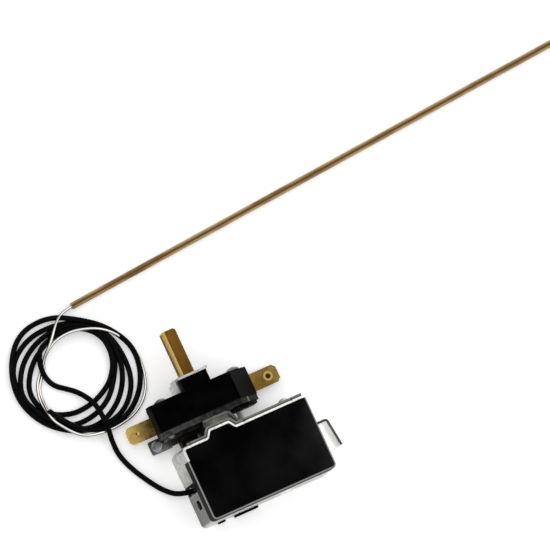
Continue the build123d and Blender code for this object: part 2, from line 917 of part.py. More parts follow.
def spring_cup():
    """Pressed cup between the spindle's tip and the range spring."""
    top = spindle_tip_y
    inside = top - cup_thickness
    cup = rod_y(shaft_x, shaft_z, (inside - cup_rim, top), cup_radius)
    cup -= rod_y(shaft_x, shaft_z, (inside - cup_rim, inside), cup_radius - cup_thickness)
    collar = rod_y(shaft_x, shaft_z, (top, top + cup_rim), spindle_radius + cup_thickness)
    collar -= rod_y(shaft_x, shaft_z, (top, top + cup_rim), spindle_radius + running_gap)
    return cup + collar


def range_spring():
    """Helical spring between the cup and the lever."""
    low = lever_top + spring_wire / 2 + spring_seat_gap
    high = spindle_tip_y - cup_thickness - spring_wire / 2 - spring_seat_gap
    height = high - low
    path = Helix(height / spring_turns, height, spring_radius, center=(0, 0, 0))
    start = path @ 0
    heading = path % 0
    wire = sweep(Plane(origin=start, z_dir=heading) * Circle(spring_wire / 2), path=path)
    return Pos(shaft_x, low, shaft_z) * Rot(-90, 0, 0) * wire


def earth_lug():
    """Zinc lug under the left end of the block, bent out to carry a screw."""
    right = housing_left_x + lug_inner_reach
    left = housing_left_x - lug_reach
    back = base_back - lug_thickness
    foot = block(
        (housing_left_x, right),
        (back, base_back),
        (lug_z - lug_thickness, rivet_z - rivet_head_radius - lug_thickness),
    )
    plate = block((left, right), (back - lug_reach / 2, base_back), (lug_z - lug_thickness, lug_z))
    side = block(
        (left, housing_left_x - lid_gap),
        (base_back - lug_thickness, base_back + lug_depth / 3),
        (lug_z - lug_thickness, lug_z),
    )
    lug = plate + side
    corners = lug.edges().filter_by(Axis.Z).group_by(Axis.X)[0]
    lug = fillet(corners, lug_thickness) + foot
    return lug - rod_z(lug_screw_x, back, (0, lug_z), lug_shank_radius)


def lug_screw():
    """Slotted pan-head screw in the earth lug."""
    x = lug_screw_x
    y = base_back - lug_thickness
    head = rod_z(x, y, (lug_z, lug_z + lug_screw_height), lug_screw_radius)
    head = fillet(head.edges().sort_by(Axis.Z)[-1], lug_screw_height / 3)
    slot_top = lug_z + lug_screw_height
    head -= block(
        (x - lug_screw_radius, x + lug_screw_radius),
        (y - lug_screw_slot / 2, y + lug_screw_slot / 2),
        (slot_top - lug_screw_slot, slot_top),
    )
    return head + rod_z(x, y, (lug_z - lug_shank_length, lug_z), lug_shank_radius)


def route_radii(points):
    """Radius at each corner of a route: 0.45 of its shorter run over the tangent of half the turn."""
    radii = []
    for before, corner, after in zip(points, points[1:], points[2:]):
        run_in = Vector(*corner) - Vector(*before)
        run_out = Vector(*after) - Vector(*corner)
        half_turn = math.radians(run_in.get_angle(run_out)) / 2
        shorter = min(run_in.length, run_out.length)
        radii.append(0.45 * shorter / math.tan(half_turn))
    return radii


def tube(name, points, diameter):
    """Round tube along straight runs joined by tangent arcs."""
    radii = route_radii(points)
    path = FilletPolyline(*points, radius=radii)
    section = Plane(origin=path @ 0, z_dir=path % 0) * Circle(diameter / 2)
    solid = sweep(section, path=path)
    expected = math.pi * diameter**2 / 4 * path.length
    print(name, "length", round(path.length, 1), "volume ratio", round(solid.volume / expected, 4))
    print(name, "radii", [round(r, 1) for r in radii])
    return solid


# Route of the sleeved capillary from the ferrule through the wall slot to the side of the coil
sleeve_route = [
    (-21.6, 0.2, 2.4),
    (-26.6, 0.8, 2.0),
    (-30.6, 5.0, 1.2),
    (-34.0, 10.9, 0.95),
    (-37.4, 17.0, 0.95),
    (-39.5, 22.4, 1.2),
    (-40.0, 28.0, 2.4),
    (-39.7, 34.5, 3.4),
]

# Route of the bare capillary from the coil to the bulb
tail_route = [
    (-44.0, 68.6, 4.2),
    (-41.4, 71.8, 3.0),
    (-38.0, 74.3, 1.6),
    (bulb_start_x, bulb_start_y, bulb_z),
]

# The ferrule carries on in line with the sleeve's first run
ferrule_heading = (Vector(*sleeve_route[0]) - Vector(*sleeve_route[1])).normalized()
ferrule_end = tuple(Vector(*sleeve_route[0]) + ferrule_heading * ferrule_length)

# Route of the bare capillary from the ferrule to the capsule
inner_route = [
    ferrule_end,
    (-12.0, -3.4, 3.1),
    (-6.5, -6.8, 4.2),
    (capsule_x - inlet_reach, capsule_back + capsule_thickness / 2, shaft_z - inlet_drop),
]


def capillary_ferrule():
    """Crimped ferrule that joins the sleeve to the bare capillary inside the case."""
    section = Plane(origin=sleeve_route[0], z_dir=ferrule_heading) * Circle(ferrule_diameter / 2)
    return extrude(section, amount=ferrule_length)


def sleeve_coil():
    """Outer shape of the loose coil: a low ring whose hole lies off its centre."""
    outline = Pos(coil_x, coil_y) * Rot(0, 0, coil_turn) * Ellipse(coil_long_radius, coil_short_radius)
    ring = extrude(outline, amount=coil_height)
    ring = chamfer(ring.edges().sort_by(Axis.Z)[-1], coil_edge)
    return ring - rod_z(coil_hole_x, coil_hole_y, (0, coil_height), coil_hole_radius)


def bulb():
    """Long thin sensing bulb with a round end and a square shoulder at the capillary."""
    radius = bulb_diameter / 2
    stem = Pos(bulb_length / 2 - radius / 2, 0, 0) * Rot(0, 90, 0)
    stem = stem * Cylinder(radius, bulb_length - radius)
    end = Pos(bulb_length - radius, 0, 0) * Sphere(radius)
    return Pos(bulb_start_x, bulb_start_y, bulb_z) * Rot(0, 0, bulb_angle) * (stem + end)


parts = {
    "case_frame": case_frame(),
    "case_lid": case_lid(),
    "side_hook": side_hook(),
    "saddle_bridge": saddle_bridge(),
    "front_rivet": front_rivet(),
    "switch_housing": switch_housing(),
    "switch_base": switch_base(),
    "housing_rivets": housing_rivets(),
    "bearing_clip": bearing_clip(),
    "shaft": shaft(),
    "left_terminal": left_terminal(),
    "right_terminal": right_terminal(),
    "fixed_contact": fixed_contact(),
    "contact_arm": contact_arm(),
    "arm_contact": arm_contact(),
    "diaphragm_capsule": diaphragm_capsule(),
    "pressure_button": pressure_button(),
    "range_lever": range_lever(),
    "calibration_screw": calibration_screw(),
    "lever_pin": lever_pin(),
    "pivot_bracket": pivot_bracket(),
    "push_pin": push_pin(),
    "range_spindle": range_spindle(),
    "range_bush": range_bush(),
    "bush_nut": bush_nut(),
    "spring_cup": spring_cup(),
    "range_spring": range_spring(),
    "earth_lug": earth_lug(),
    "lug_screw": lug_screw(),
    "capillary_ferrule": capillary_ferrule(),
    "inner_capillary": tube("inner_capillary", inner_route, capillary_diameter),
    "capillary_sleeve": tube("capillary_sleeve", sleeve_route, sleeve_diameter),
    "sleeve_coil": sleeve_coil(),
    "capillary_tail": tube("capillary_tail", tail_route, capillary_diameter),
    "bulb": bulb(),
}

os.makedirs("parts", exist_ok=True)
for name, solid in parts.items():
    placed = Pos(-origin_x, -origin_y, 0) * solid
    placed.label = name
    export_step(placed, f"parts/{name}.step")
print("origin", round(origin_x, 3), round(origin_y, 3))
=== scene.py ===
import bmesh
import bpy
import json
import math
from mathutils import Matrix, Vector


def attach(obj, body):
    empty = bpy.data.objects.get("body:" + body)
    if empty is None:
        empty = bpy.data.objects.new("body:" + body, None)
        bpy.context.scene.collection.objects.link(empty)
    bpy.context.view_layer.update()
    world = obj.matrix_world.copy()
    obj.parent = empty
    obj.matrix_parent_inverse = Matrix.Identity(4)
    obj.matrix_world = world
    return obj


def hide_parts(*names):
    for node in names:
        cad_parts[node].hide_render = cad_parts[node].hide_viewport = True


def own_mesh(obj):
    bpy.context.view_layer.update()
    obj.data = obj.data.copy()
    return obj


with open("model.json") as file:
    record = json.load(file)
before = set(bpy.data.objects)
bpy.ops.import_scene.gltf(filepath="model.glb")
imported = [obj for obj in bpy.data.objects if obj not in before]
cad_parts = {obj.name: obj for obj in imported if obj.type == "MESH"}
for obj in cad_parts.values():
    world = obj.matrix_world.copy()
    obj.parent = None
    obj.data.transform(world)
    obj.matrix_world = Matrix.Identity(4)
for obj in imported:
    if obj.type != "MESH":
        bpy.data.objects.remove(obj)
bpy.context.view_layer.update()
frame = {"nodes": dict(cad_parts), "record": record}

X, Y, Z = 0, 1, 2

# The case's middle lies at this place in the row's frame, in millimetres
CASE_X = 2.527
CASE_Y = -19.9


def spot(x, y, z):
    """Point in metres of the row's frame, from millimetres measured from the case's middle."""
    return ((x + CASE_X) / 1000, (y + CASE_Y) / 1000, z / 1000)


def linked(name, data):
    """New object in the scene."""
    piece = bpy.data.objects.new(name, data)
    bpy.context.collection.objects.link(piece)
    return piece


# Materials

def link(tree, source, target):
    tree.links.new(source, target)


def node(tree, kind, **inputs):
    """Shader node with its named inputs set."""
    new = tree.nodes.new(kind)
    for name, value in inputs.items():
        new.inputs[name.replace("_", " ")].default_value = value
    return new


def noise(tree, coordinates, scale, detail=4.0, stretch=None):
    """Noise texture in object space, stretched along an axis if asked."""
    if stretch:
        mapping = tree.nodes.new("ShaderNodeMapping")
        mapping.inputs["Scale"].default_value = stretch
        link(tree, coordinates, mapping.inputs["Vector"])
        coordinates = mapping.outputs["Vector"]
    texture = node(tree, "ShaderNodeTexNoise", Scale=scale, Detail=detail)
    link(tree, coordinates, texture.inputs["Vector"])
    return texture.outputs["Fac"]


def ramp(tree, factor, stops):
    """Colour ramp with (position, colour) stops."""
    new = tree.nodes.new("ShaderNodeValToRGB")
    elements = new.color_ramp.elements
    while len(elements) < len(stops):
        elements.new(0.5)
    for element, (position, colour) in zip(elements, stops):
        element.position = position
        element.color = (*colour, 1.0)
    link(tree, factor, new.inputs["Fac"])
    return new.outputs["Color"]


def mix(tree, kind, factor, first, second):
    """Two colours mixed; the factor and the second colour may be a value or a socket."""
    new = tree.nodes.new("ShaderNodeMix")
    new.data_type = "RGBA"
    new.blend_type = kind
    # The colour sockets stand at these numbers, after those for plain values
    sockets = (new.inputs[0], new.inputs[6], new.inputs[7])
    for socket, value in zip(sockets, (factor, first, second)):
        if isinstance(value, bpy.types.NodeSocket):
            link(tree, value, socket)
        else:
            socket.default_value = value
    return new.outputs[2]


def component(tree, vector, axis):
    """One axis of a vector."""
    parts = tree.nodes.new("ShaderNodeSeparateXYZ")
    link(tree, vector, parts.inputs[0])
    return parts.outputs[axis]


def span(tree, value, low, high):
    """Value mapped so that low gives 0 and high gives 1."""
    new = node(tree, "ShaderNodeMapRange", From_Min=low, From_Max=high)
    link(tree, value, new.inputs["Value"])
    return new.outputs["Result"]


def grey(level):
    return (level, level, level)


# Each tint takes a shader tree, its texture coordinates and a colour, and gives the tinted colour.
# Specks are stains; every other tint paints light and shade into the colour.

SPECK_SCALE = 1250.0
SPECK_DETAIL = 3.0
SPECK_BAND = (0.56, 0.66)


def specks(tone):
    """Small stains."""
    def tint(tree, texture, colour):
        stains = noise(tree, texture.outputs["Object"], SPECK_SCALE, SPECK_DETAIL)
        stops = [(SPECK_BAND[0], grey(1.0)), (SPECK_BAND[1], grey(tone))]
        return mix(tree, "MULTIPLY", 1.0, colour, ramp(tree, stains, stops))
    return tint


def painted_shading(axis, low, high, tones):
    """Painted light and shade: tones along an axis, between two places in metres."""
    def tint(tree, texture, colour):
        place = span(tree, component(tree, texture.outputs["Object"], axis), low, high)
        return mix(tree, "MULTIPLY", 1.0, colour, ramp(tree, place, tones))
    return tint


def painted_slope_highlight(axis, band, highlight_colour):
    """Painted highlight: another colour where the normal's component, mapped from -1..1 to 0..1,
    is in the band.
    """
    def tint(tree, texture, colour):
        lean = span(tree, component(tree, texture.outputs["Normal"], axis), -1.0, 1.0)
        stops = [(share, grey(level)) for share, level in zip(band, (0.0, 1.0, 1.0, 0.0))]
        return mix(tree, "MIX", ramp(tree, lean, stops), colour, (*highlight_colour, 1.0))
    return tint


def painted_facing_light(axis, low, high, painted_colour):
    """Painted highlight and shade: another colour that comes in as the normal's component goes
    from low to high.
    """
    def tint(tree, texture, colour):
        lean = span(tree, component(tree, texture.outputs["Normal"], axis), low, high)
        return mix(tree, "MIX", lean, colour, (*painted_colour, 1.0))
    return tint


HIGHLIGHT_RING_STOPS = [(0.0, grey(0.0)), (0.3, grey(1.0)), (0.7, grey(1.0)), (1.0, grey(0.0))]


def painted_ring_highlight(x, y, inner, outer, highlight_colour):
    """Painted highlight: another colour in a ring around a hole, all in metres."""
    def tint(tree, texture, colour):
        offset = node(tree, "ShaderNodeVectorMath")
        offset.operation = "SUBTRACT"
        link(tree, texture.outputs["Object"], offset.inputs[0])
        offset.inputs[1].default_value = (x, y, 0.0)
        level = node(tree, "ShaderNodeVectorMath")
        level.operation = "MULTIPLY"
        link(tree, offset.outputs["Vector"], level.inputs[0])
        level.inputs[1].default_value = (1.0, 1.0, 0.0)
        length = tree.nodes.new("ShaderNodeVectorMath")
        length.operation = "LENGTH"
        link(tree, level.outputs["Vector"], length.inputs[0])
        place = span(tree, length.outputs["Value"], inner, outer)
        return mix(tree, "MIX", ramp(tree, place, HIGHLIGHT_RING_STOPS), colour, (*highlight_colour, 1.0))
    return tint


# The case's front wall, in metres of the row's frame: where its joggle bends, how far it reaches,
# the wall's inner and outer faces, and the ends of the case
JOGGLE_X = (-0.01127, -0.00967, -0.00207, -0.00047)
JOGGLE_REACH = 0.0024
WALL_Y = (-0.0067, -0.0049)
CASE_ENDS = (-0.0212, 0.0263)
# Painted tones across the front wall: a painted highlight on its top, painted shade in the hem's
# seam and outside
WALL_LIGHT_AND_SHADE = [
    (0.0, grey(1.0)),
    (0.03, grey(1.25)),
    (0.38, grey(1.2)),
    (0.44, grey(0.3)),
    (0.5, grey(0.07)),
    (0.6, grey(0.09)),
    (0.7, grey(0.26)),
]


def front_edge_light_and_shade(tree, texture, colour):
    """Painted highlight on the top of the front wall, painted shade in the seam of its hem and on
    the duller fold outside.
    """
    place = texture.outputs["Object"]
    along = span(tree, component(tree, place, X), *CASE_ENDS)
    ends = [(x - CASE_ENDS[0]) / (CASE_ENDS[1] - CASE_ENDS[0]) for x in JOGGLE_X]
    stops = [(end, grey(level)) for end, level in zip(ends, (0.0, 1.0, 1.0, 0.0))]
    step = ramp(tree, along, stops)
    out = node(tree, "ShaderNodeMath")
    out.operation = "MULTIPLY_ADD"
    link(tree, step, out.inputs[0])
    out.inputs[1].default_value = -JOGGLE_REACH
    link(tree, component(tree, place, Y), out.inputs[2])
    depth = span(tree, out.outputs[0], *WALL_Y)
    return mix(tree, "MULTIPLY", 1.0, colour, ramp(tree, depth, WALL_LIGHT_AND_SHADE))


# Patches of colour change over this band of their noise, and roughness over the other
PATCH_BAND = (0.35, 0.65)
ROUGH_BAND = (0.3, 0.7)
ROUGH_SCALE = 2.3
ROUGH_DETAIL = 6.0
GRAIN_DETAIL = 2.0
RELIEF_DEPTH = 0.00005


def surface(
    name,
    colours,
    metallic,
    rough,
    patch=250.0,
    grain=2500.0,
    bump=0.1,
    stretch=None,
    specular=0.5,
    edge=1.0,
    tints=(),
):
    """Material whose colour and roughness drift in patches, over a fine grain in its relief."""
    material = bpy.data.materials.new(name)
    material.use_nodes = True
    tree = material.node_tree
    tree.nodes.clear()
    out = tree.nodes.new("ShaderNodeOutputMaterial")
    shader = tree.nodes.new("ShaderNodeBsdfPrincipled")
    link(tree, shader.outputs["BSDF"], out.inputs["Surface"])
    texture = tree.nodes.new("ShaderNodeTexCoord")
    coordinates = texture.outputs["Object"]
    shader.inputs["Metallic"].default_value = metallic
    shader.inputs["Specular IOR Level"].default_value = specular
    shader.inputs["Specular Tint"].default_value = (*grey(edge), 1.0)
    wide = noise(tree, coordinates, patch, stretch=stretch)
    step = (PATCH_BAND[1] - PATCH_BAND[0]) / (len(colours) - 1)
    stops = [(PATCH_BAND[0] + step * place, tone) for place, tone in enumerate(colours)]
    colour = ramp(tree, wide, stops)
    for tint in tints:
        colour = tint(tree, texture, colour)
    link(tree, colour, shader.inputs["Base Color"])
    fine = noise(tree, coordinates, grain, GRAIN_DETAIL, stretch)
    spread = node(
        tree,
        "ShaderNodeMapRange",
        From_Min=ROUGH_BAND[0],
        From_Max=ROUGH_BAND[1],
        To_Min=rough[0],
        To_Max=rough[1],
    )
    blotches = noise(tree, coordinates, patch * ROUGH_SCALE, ROUGH_DETAIL, stretch)
    link(tree, blotches, spread.inputs["Value"])
    link(tree, spread.outputs["Result"], shader.inputs["Roughness"])
    relief = node(tree, "ShaderNodeBump", Strength=bump, Distance=RELIEF_DEPTH)
    link(tree, fine, relief.inputs["Height"])
    link(tree, relief.outputs["Normal"], shader.inputs["Normal"])
    return material


# Bands of painted highlight: normals like a rounded upper edge's, and like those of the shaft's
# left flank
UPPER_EDGE_HIGHLIGHT = (0.7, 0.79, 0.92, 0.98)
SHAFT_FLANK_HIGHLIGHT = (0.0, 0.03, 0.26, 0.42)

# Painted light and shade along a piece: the axis, the two places in metres of the row's frame, and
# the tones between.
# The lid gets a painted reflection, the base and the shaft painted shade, the case painted light
# and shade.
LID_PAINTED_REFLECTION = (X, -0.03, 0.035, [(0.0, grey(0.5)), (0.6, grey(1.0)), (1.0, grey(4.0))])
BASE_PAINTED_SHADE = (
    X, -0.0225, 0.0125,
    [(0.0, grey(1.0)), (0.35, grey(0.9)), (0.6, grey(0.45)), (1.0, grey(0.4))],
)
SHAFT_PAINTED_SHADE = (Y, -0.0011, 0.034, [(0.3, grey(0.9)), (0.6, grey(1.0)), (1.0, grey(1.35))])
CASE_PAINTED_LIGHT_AND_SHADE = (
    Y, -0.0332, -0.009,
    [(0.012, grey(1.05)), (0.045, grey(0.3)), (0.45, grey(0.36)), (0.55, grey(0.95))],
)

LOOKS = {
    "zinc_steel": surface(
        "zinc_steel", [(0.352, 0.36, 0.336), (0.576, 0.584, 0.56), (0.448, 0.456, 0.432)],
        1.0, (0.22, 0.4),
        tints=[specks(0.6)],
    ),
    "spring_steel": surface(
        "spring_steel", [(0.576, 0.576, 0.56), (0.88, 0.88, 0.848)], 1.0, (0.18, 0.3),
    ),
    "bright_steel": surface(
        "bright_steel", [(0.60, 0.585, 0.555), (0.86, 0.845, 0.815)], 1.0, (0.18, 0.3),
    ),
    "dark_steel": surface(
        "dark_steel", [(0.192, 0.208, 0.224), (0.416, 0.432, 0.448)], 1.0, (0.28, 0.42),
    ),
    # Painted reflection lightening the lid towards +X, and a painted highlight on its rounded
    # upper edges
    "black_lid": surface(
        "black_lid", [(0.001, 0.001, 0.001), (0.0056, 0.0056, 0.0056)], 0.0, (0.3, 0.42),
        patch=60.0, grain=4000.0, bump=0.15, specular=0.006,
        tints=[painted_shading(*LID_PAINTED_REFLECTION), painted_slope_highlight(Z, UPPER_EDGE_HIGHLIGHT, (0.272, 0.272, 0.266))],
    ),
    # Painted highlight on its rounded upper edges
    "black_moulding": surface(
        "black_moulding", [(0.0006, 0.0006, 0.0006), (0.0016, 0.0016, 0.0018)], 0.0, (0.34, 0.46),
        grain=4000.0, bump=0.15, specular=0.004, tints=[painted_slope_highlight(Z, UPPER_EDGE_HIGHLIGHT, grey(0.01))],
    ),
    # Painted shade darkening the base towards +X
    "grey_moulding": surface(
        "grey_moulding", [(0.018, 0.0175, 0.018), (0.06, 0.058, 0.06)], 0.0, (0.4, 0.55),
        patch=700.0, grain=3500.0, bump=0.2, specular=0.04,
        tints=[painted_shading(*BASE_PAINTED_SHADE)],
    ),
    # Painted shade towards the boss, painted light towards the tip, and a painted highlight on the
    # left flank
    "shaft_brass": surface(
        "shaft_brass", [(0.10, 0.044, 0.005), (0.145, 0.07, 0.011), (0.11, 0.05, 0.006)],
        1.0, (0.24, 0.4),
        stretch=(1.0, 0.25, 1.0),
        tints=[painted_shading(*SHAFT_PAINTED_SHADE), painted_slope_highlight(X, SHAFT_FLANK_HIGHLIGHT, (0.6, 0.42, 0.15))],
    ),
    "blade_brass": surface(
        "blade_brass", [(0.528, 0.36, 0.104), (0.768, 0.536, 0.184)], 1.0, (0.25, 0.4),
        tints=[specks(0.75)],
    ),
    "arm_bronze": surface(
        "arm_bronze", [(0.62, 0.36, 0.16), (0.74, 0.47, 0.22)], 1.0, (0.25, 0.4),
    ),
    "contact_silver": surface(
        "contact_silver", [(0.78, 0.78, 0.76), (0.88, 0.88, 0.86)], 1.0, (0.2, 0.35),
    ),
    "white_ceramic": surface(
        "white_ceramic", [(0.72, 0.7, 0.63), (0.8, 0.78, 0.72)], 0.0, (0.45, 0.6),
    ),
    "black_sleeve": surface(
        "black_sleeve", [(0.001, 0.001, 0.001), (0.0029, 0.0029, 0.0029)], 0.0, (0.16, 0.28),
        grain=1500.0, bump=0.08, specular=0.035,
    ),
    # Painted shade on the bulb's upward faces, darkened to a brown core
    "copper_bulb": surface(
        "copper_bulb", [(0.235, 0.148, 0.066), (0.46, 0.34, 0.185), (0.30, 0.20, 0.098)],
        1.0, (0.22, 0.38),
        stretch=(0.3, 1.0, 1.0), tints=[painted_facing_light(Z, 0.84, 0.99, (0.125, 0.068, 0.022))],
    ),
}

# The right blade's hole, and the limits of the painted highlight ring around it, in metres of the
# row's frame
HOLE = (0.02153, 0.0061)
HOLE_HIGHLIGHT_RING = (0.0009, 0.0018)

# These pieces differ a little from the others of their metal. On the case, the hook, the right
# blade and the bridge some of the difference is painted light and shade.
OWN_LOOKS = {
    # Painted light and shade on the case: its outermost wall at low Y lightened, the half beside
    # it darkened, and the front wall's painted tones; the specks are stains
    "case_frame": surface(
        "case_zinc_painted_light", [(0.66, 0.675, 0.625), (0.88, 0.89, 0.845), (0.76, 0.775, 0.725)],
        1.0, (0.22, 0.4),
        edge=0.55, tints=[painted_shading(*CASE_PAINTED_LIGHT_AND_SHADE), specks(0.7), front_edge_light_and_shade],
    ),
    # Bright steel with painted shade on the hook's upward faces
    "side_hook": surface(
        "hook_steel_painted_shade", [(0.80, 0.78, 0.74), (0.90, 0.88, 0.84)], 1.0, (0.18, 0.3),
        tints=[painted_facing_light(Z, 0.3, 0.7, (0.08, 0.077, 0.072))],
    ),
    "bearing_clip": surface(
        "clip_steel", [(0.38, 0.38, 0.37), (0.64, 0.64, 0.62)], 1.0, (0.2, 0.34),
        tints=[specks(0.7)],
    ),
    # Brass darker than the left blade's, with a painted highlight ring around its hole; the specks
    # are stains
    "right_terminal": surface(
        "darker_brass", [(0.176, 0.109, 0.0192), (0.288, 0.189, 0.053)], 1.0, (0.25, 0.4),
        tints=[specks(0.7), painted_ring_highlight(*HOLE, *HOLE_HIGHLIGHT_RING, (0.528, 0.376, 0.144))],
    ),
    # Painted shade: the bridge sits in the gap between the switch and the case and its zinc is
    # coloured dark
    "saddle_bridge": surface(
        "bridge_zinc_painted_shade", [(0.064, 0.067, 0.058), (0.176, 0.184, 0.16)], 1.0, (0.25, 0.4),
        tints=[specks(0.6)],
    ),
    "housing_rivets": surface(
        "rivet_steel", [(0.10, 0.10, 0.095), (0.2, 0.2, 0.19)], 1.0, (0.25, 0.4),
        tints=[specks(0.7)],
    ),
    "earth_lug": surface(
        "lug_zinc", [(0.09, 0.085, 0.072), (0.26, 0.26, 0.24)], 1.0, (0.25, 0.4),
        tints=[specks(0.6)],
    ),
}

# Painted shade on the bare capillary's sides and a painted highlight on its upward faces
BARE_LIT_LOOK = surface(
    "bare_steel_painted_light", [(0.12, 0.10, 0.09), (0.2, 0.18, 0.165)], 1.0, (0.18, 0.3),
    tints=[painted_facing_light(Z, 0.72, 0.95, (0.88, 0.86, 0.83))],
)

for part in frame["record"]["subparts"]:
    piece = frame["nodes"][part["node"]]
    piece.data.materials.clear()
    piece.data.materials.append(OWN_LOOKS.get(part["node"], LOOKS[part["material_slot"]]))


# Small pieces that the photo shows and the solids lack

def fixed(name, mesh, look):
    """New piece on the base, from a mesh in the row's frame."""
    data = bpy.data.meshes.new(name)
    mesh.to_mesh(data)
    mesh.free()
    data.materials.append(look)
    piece = linked(name, data)
    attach(piece, "base")


# Bars have rounded edges. Their spans along X, Y and Z are in millimetres from the case's middle.
BAR_ROUND = 0.0002


def bars(name, spans, look):
    """Piece made of small bars."""
    mesh = bmesh.new()
    for sides in spans:
        low = Vector(spot(*(side[0] for side in sides)))
        high = Vector(spot(*(side[1] for side in sides)))
        for corner in bmesh.ops.create_cube(mesh, size=1.0)["verts"]:
            corner.co = [low[i] + (corner.co[i] + 0.5) * (high[i] - low[i]) for i in range(3)]
    bmesh.ops.bevel(
        mesh,
        geom=list(mesh.edges),
        offset=BAR_ROUND,
        segments=2,
        profile=0.5,
        affect="EDGES",
    )
    fixed(name, mesh, look)


# A thin web closes the right blade's hole, which the photo shows dark

WEB_Z = 0.0024
WEB_RADIUS = 0.00081
WEB_DEPTH = 0.0003
WEB_SIDES = 32
# The web stands for the dimple's closed bottom; its dark brown is painted shade inside the hole
WEB_SHADE_LOOK = surface("hole_web_painted_shade", [(0.03, 0.016, 0.004), (0.07, 0.038, 0.01)], 1.0, (0.3, 0.45))

web = bmesh.new()
bmesh.ops.create_cone(
    web,
    cap_ends=True,
    segments=WEB_SIDES,
    radius1=WEB_RADIUS,
    radius2=WEB_RADIUS,
    depth=WEB_DEPTH,
    matrix=Matrix.Translation((*HOLE, WEB_Z)),
)
fixed("terminal_web_painted_shade", web, WEB_SHADE_LOOK)

# Dark moulded ribs in the gap between the switch base and the case; their darkness is partly the
# base's own dark moulding and partly painted shade of the deep gap

RIB_AND_GAP_SHADE_LOOK = surface(
    "rib_moulding_and_gap_shade", [(0.004, 0.0035, 0.0025), (0.03, 0.021, 0.014)], 0.0, (0.4, 0.55),
    patch=500.0, grain=3500.0, bump=0.2, specular=0.04,
)
RIB_SPANS = [
    ((-21.8, -12.5), (17.2, 20.05), (2.0, 9.0)),
    ((-21.8, -12.5), (18.6, 20.05), (8.8, 14.5)),
    ((-19.2, -12.9), (15.2, 17.4), (1.0, 6.0)),
    ((1.7, 9.8), (18.6, 20.05), (4.0, 12.0)),
]
bars("base_ribs_and_gap_shade", RIB_SPANS, RIB_AND_GAP_SHADE_LOOK)

# Ends of two lid tabs in the slots at the foot of the rear wall

TAB_SPANS = [
    ((-18.2, -15.5), (-13.75, -12.6), (0.1, 1.9)),
    ((-12.0, -3.0), (-13.95, -12.6), (0.1, 1.9)),
]
bars("lid_tabs", TAB_SPANS, LOOKS["black_moulding"])


# The range spring rides on the lever, which tilts towards the spindle's cup.
# It is a little shorter than its solid, for the cup's own travel.

SPRING_FOOT = (-0.005873, -0.02005, 0.0094)
SPRING_PLAY = 0.0006


def short_spring(solid):
    """Copy of the range spring, drawn in along Y towards its foot."""
    piece = linked("range_coil", solid.data.copy())
    piece.matrix_world = solid.matrix_world.copy()
    place = piece.matrix_world
    back = place.inverted()
    points = [place @ vertex.co for vertex in piece.data.vertices]
    share = 1.0 - SPRING_PLAY / max(point.y - SPRING_FOOT[1] for point in points)
    for vertex, point in zip(piece.data.vertices, points):
        point.y = SPRING_FOOT[1] + (point.y - SPRING_FOOT[1]) * share
        vertex.co = back @ point
    return piece


coil = short_spring(frame["nodes"]["range_spring"])
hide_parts("range_spring")
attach(coil, "lever")
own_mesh(coil)


# Sleeved and bare capillary

SLEEVE_DIAMETER = 0.0019
BARE_DIAMETER = 0.001
CORD_ROUNDNESS = 5
CORD_STEPS = 8
CORD_ORDER = 3

# Control points of the routes, in millimetres from the case's middle

SLEEVE_ROUTE = [
    (-21.6, 0.2, 2.4),
    (-26.6, 0.8, 2.0),
    (-31.1, 4.7, 1.2),
    (-34.9, 10.5, 0.95),
    (-38.2, 16.6, 0.95),
    (-40.1, 22.1, 1.2),
    (-40.5, 27.2, 2.8),
    (-40.2, 31.4, 4.4),
    (-40.2, 35.0, 4.7),
    (-40.3, 38.4, 4.2),
    (-40.7, 41.7, 3.2),
    (-42.1, 44.8, 2.0),
    (-44.3, 47.9, 1.2),
    (-47.4, 50.4, 0.95),
    (-50.3, 52.6, 0.95),
    (-51.9, 55.4, 1.2),
    (-52.5, 58.6, 1.9),
    (-51.9, 62.1, 2.1),
    (-51.0, 64.5, 2.4),
    (-49.5, 66.6, 2.7),
]

# Each turn's control points, clockwise from the top: distance from the coil's centre, and height.
# The cord runs a little inside them.
COIL_CENTRE = (-42.5, 53.5)
TURN_STEP = 30

TURN_RADII = [
    (15.3, 16.6, 16.8, 14.9, 13.0, 11.6, 12.0, 14.1, 17.0, 17.6, 15.5, 14.5),
    (15.3, 17.3, 17.3, 16.0, 14.0, 14.7, 16.0, 18.5, 18.6, 20.6, 18.8, 17.4),
    (17.0, 17.9, 18.0, 17.3, 17.4, 18.2, 19.8, 19.5, 19.6, 21.0, 22.3, 20.5),
    (18.6, 18.6, 19.0, 18.8, 20.7, 21.7, 20.5, 20.2, 20.7, 22.1, 22.8, 23.9),
    (22.1, 19.1, 20.4, 23.6, 24.0, 23.7, 21.8, 18.4),
]
TURN_HEIGHTS = [
    (2.9, 2.9, 2.6, 2.3, 0.95, 0.95, 0.95, 0.95, 0.95, 0.95, 0.95, 0.95),
    (0.95, 0.95, 0.95, 0.95, 0.95, 0.95, 0.95, 0.95, 2.4, 0.95, 0.95, 0.95),
    (0.95, 2.6, 2.6, 1.7, 0.95, 0.95, 0.95, 0.95, 1.2, 0.95, 0.95, 0.95),
    (0.95, 0.95, 0.95, 0.95, 0.95, 0.95, 0.95, 2.4, 1.2, 1.8, 2.4, 0.95),
    (0.95, 2.9, 2.3, 0.95, 0.95, 0.95, 2.7, 2.9),
]
SLEEVE_END = (-56.5, 45.6, 3.5)

